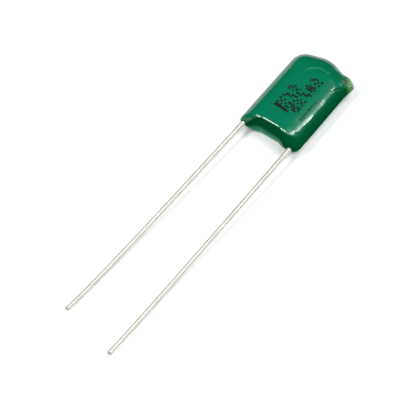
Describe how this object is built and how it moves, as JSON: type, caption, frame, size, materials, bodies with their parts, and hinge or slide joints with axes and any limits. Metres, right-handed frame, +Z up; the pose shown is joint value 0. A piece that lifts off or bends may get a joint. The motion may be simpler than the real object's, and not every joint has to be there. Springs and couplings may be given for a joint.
{
  "type": "polyester capacitor",
  "caption": "Dipped polyester film capacitor: a flat rounded body of glossy green resin over a wound film roll, with straight tinned wire leads that solder into a circuit board.",
  "frame": {"origin": "on the flat face that it lies on, below the centre of the film winding", "axes": "+Z up from the face it lies on, +Y from the leads to the closed end of the dip, +X to the right with the leads towards the viewer"},
  "size_m": [0.0088, 0.041, 0.0033],
  "materials": {
    "green_epoxy": "dipped epoxy resin, glossy, with a slightly wavy skin and one thin yellow-green corner",
    "wound_film": "clear polyester film wound with bright metal foil, pressed flat",
    "tinned_wire": "bright tin plating on drawn wire, ends cut square"
  },
  "bodies": {
    "root": {"epoxy_coat": "green_epoxy", "film_winding": "wound_film", "left_lead": "tinned_wire", "right_lead": "tinned_wire"}
  },
  "joints": []
}
